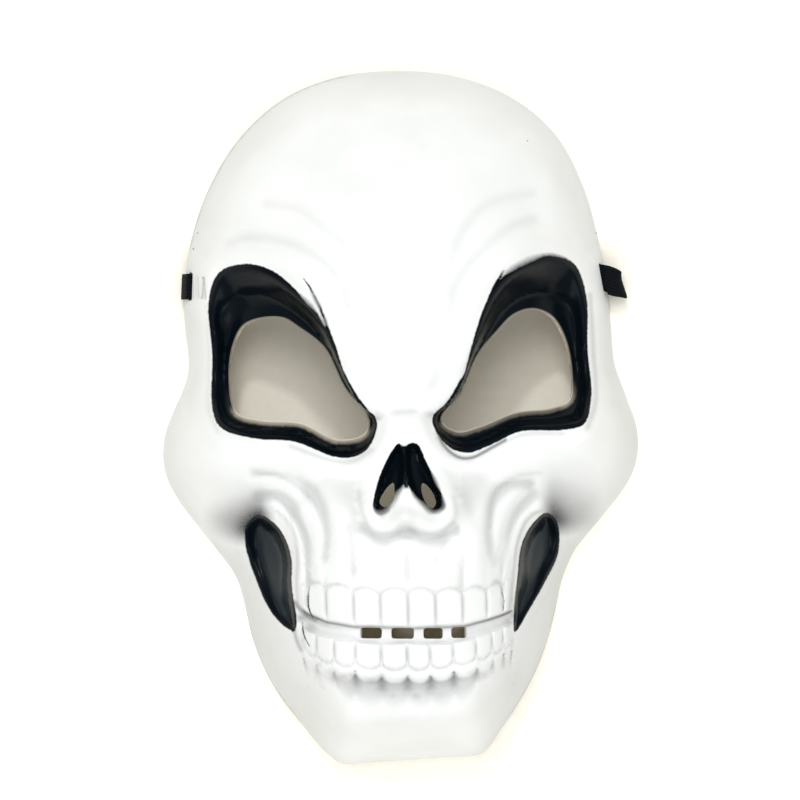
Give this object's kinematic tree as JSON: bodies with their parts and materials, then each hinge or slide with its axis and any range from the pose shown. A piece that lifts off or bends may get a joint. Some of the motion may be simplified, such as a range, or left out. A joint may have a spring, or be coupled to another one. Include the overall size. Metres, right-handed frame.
{
  "type": "carnival mask",
  "caption": "Moulded white plastic skull face mask with open eyes, black painted hollows and a flat black elastic head strap, lying face up.",
  "frame": {"origin": "on the floor under the middle of the shell, which lies face up on its rim", "axes": "+Y towards the top of the head, +Z out of the face, +X towards the right of the face as it is seen"},
  "size_m": [0.1782, 0.2594, 0.0775],
  "materials": {
    "white_plastic": "satin moulded plastic, with gloss black painted into the eye sockets, nose and cheek hollows",
    "black_elastic": "woven flat elastic, matte"
  },
  "bodies": {
    "root": {"mask_shell": "white_plastic", "elastic_strap": "black_elastic"}
  },
  "joints": []
}
